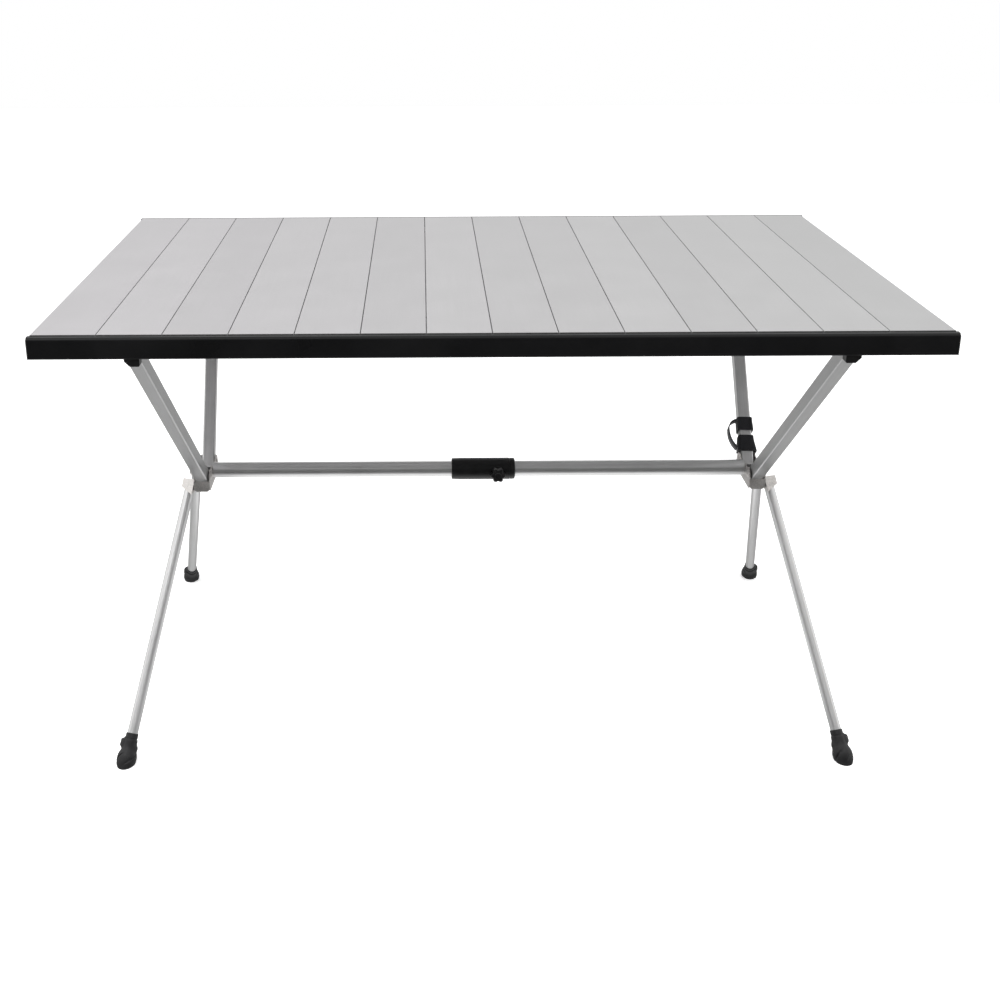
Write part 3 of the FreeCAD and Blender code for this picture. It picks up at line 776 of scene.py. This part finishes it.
def turn_of_strap(name, at, low, high, spread, slant, lift, cover):
    """A closed sheet round the square arm, wider at its low edge, with soft corners and slight waves.

    cover is the span of angles: a whole turn, or the part that an overlapping end covers.
    """
    steps = 72
    rows = 9
    full = cover == (0, 2 * math.pi)
    count = steps if full else steps + 1
    wave_size = 1 if full else 0.9
    points = []
    for skin in (0, STRAP_THICKNESS):
        for row in range(rows):
            share = row / (rows - 1)
            for step in range(count):
                angle = cover[0] + (cover[1] - cover[0]) * step / steps
                c = math.cos(angle)
                s = math.sin(angle)
                wave = 0.25 * math.sin(3 * angle + 5 * share) + 0.3 * math.sin(math.pi * share)
                size = STRAP_INNER_HALF + lift + skin + wave * wave_size
                x = math.copysign(abs(c) ** STRAP_CORNER_POWER, c) * (size + spread * (1 - share) ** 1.5)
                y = math.copysign(abs(s) ** STRAP_CORNER_POWER, s) * size
                z = low + (high - low) * share - slant * (1 - share) * min(0.0, s)
                points.append(at(x, y, z))
    return add_mesh(name, points, sheet_faces(rows, count, full))


def sheet_faces(rows, count, full):
    """Faces of two skins of rows x count points, joined round their edges. A full turn has no ends."""
    faces = []
    skin_size = rows * count
    pairs = [(step, (step + 1) % count) for step in range(count if full else count - 1)]
    for base in range(0, skin_size - count, count):
        for here, onward in pairs:
            a = base + here
            b = base + onward
            faces.append((a, b, b + count, a + count))
            faces.append((skin_size + a, skin_size + a + count, skin_size + b + count, skin_size + b))
    for base in (0, skin_size - count):
        for here, onward in pairs:
            a = base + here
            b = base + onward
            faces.append((a, skin_size + a, skin_size + b, b))
    if not full:
        for base in range(0, skin_size - count, count):
            for a in (base, base + count - 1):
                faces.append((a, a + count, skin_size + a + count, skin_size + a))
    return faces


# ---------------------------------------------------------------- stage

def floor():
    """A glowing white floor, left out of reflections, so that the metal mirrors the studio alone."""
    bpy.ops.mesh.primitive_plane_add(size=FLOOR_SIZE, location=(0, 0, 0))
    obj = bpy.context.object
    obj.name = "studio_floor"
    look = Look("studio_floor", (0.95, 0.95, 0.95), 0.0, 0.8, 0.2)
    clouds = look.noise(look.space, 0.6, 2)
    look.shade(look.ranged(clouds, 0, 1), 0.99, 1.01)
    look.shader.inputs["Emission Color"].default_value = (1, 1, 1, 1)
    look.shader.inputs["Emission Strength"].default_value = FLOOR_GLOW
    paint(obj, look.material)
    obj.visible_glossy = False


def area_light(name, place, target, size, power):
    """A rectangular light that faces a target."""
    data = bpy.data.lights.new(name, "AREA")
    data.shape = "RECTANGLE"
    data.size, data.size_y = size
    data.energy = power
    obj = bpy.data.objects.new(name, data)
    obj.location = place
    obj.rotation_mode = "QUATERNION"
    obj.rotation_quaternion = (Vector(target) - Vector(place)).to_track_quat("-Z", "Y")
    bpy.context.scene.collection.objects.link(obj)


def world():
    """A white studio, darker towards the front and low down, but bright straight above and below."""
    made = bpy.data.worlds.new("studio")
    bpy.context.scene.world = made
    made.use_nodes = True
    tree = made.node_tree
    direction = tree.nodes.new("ShaderNodeTexCoord").outputs["Generated"]
    split = tree.nodes.new("ShaderNodeSeparateXYZ")
    tree.links.new(direction, split.inputs["Vector"])
    shares = []
    for axis, start, end, first, last in WORLD_RAMPS:
        ramp = tree.nodes.new("ShaderNodeMapRange")
        ramp.interpolation_type = "SMOOTHSTEP"
        for key, number in (("From Min", start), ("From Max", end), ("To Min", first), ("To Max", last)):
            ramp.inputs[key].default_value = number
        tree.links.new(split.outputs[axis], ramp.inputs["Value"])
        shares.append(ramp.outputs["Result"])
    total = shares[0]
    for operation, share in zip(WORLD_STEPS, shares[1:]):
        step = tree.nodes.new("ShaderNodeMath")
        step.operation = operation
        tree.links.new(total, step.inputs[0])
        tree.links.new(share, step.inputs[1])
        total = step.outputs["Value"]
    background = tree.nodes["Background"]
    background.inputs["Color"].default_value = (1, 1, 1, 1)
    tree.links.new(total, background.inputs["Strength"])


def camera():
    data = bpy.data.cameras.new("camera")
    data.lens = CAMERA_LENS
    data.sensor_width = 36
    data.shift_x, data.shift_y = CAMERA_SHIFT
    obj = bpy.data.objects.new("camera", data)
    bpy.context.scene.collection.objects.link(obj)
    turn = Matrix.Rotation(math.pi / 2 - CAMERA_PITCH, 4, "X") @ Matrix.Rotation(CAMERA_ROLL, 4, "Z")
    obj.matrix_world = Matrix.Translation(CAMERA_PLACE) @ turn
    bpy.context.scene.camera = obj


def stage():
    """The studio: the floor, the surroundings, the lights and the camera."""
    floor()
    world()
    area_light("key", (-1.8, -1.0, 3.2), (0, 0, 0.5), (2.5, 2.0), KEY_POWER)
    for side in (-1, 1):
        area_light("side", (side * 1.7, -0.2, 0.6), (side * 0.4, -0.1, 0.4), (1.2, 1.2), SIDE_POWER)
    area_light("floor_bounce", (0, 0, 0.02), (0, 0, 1), (0.9, 0.44), FLOOR_BOUNCE_POWER)
    area_light("floor_wash", (0, -1.2, 2.6), (0, -1.6, 0), (5.0, 3.0), FLOOR_WASH_POWER)
    camera()
    bpy.context.scene.view_settings.view_transform = "Standard"


steel = zinc_plate()
plastic = moulded("black_plastic", 0.004, 0.38, 1100, 0.25)
rubber = moulded("boot_rubber", 0.012, 0.48, 700, 0.2)
dress_top()
dress_frame(plastic, steel)
rivets(steel)
boots(rubber)
sleeve(plastic)
knob(plastic)
cords(braid())
tie_strap(webbing())
stage()
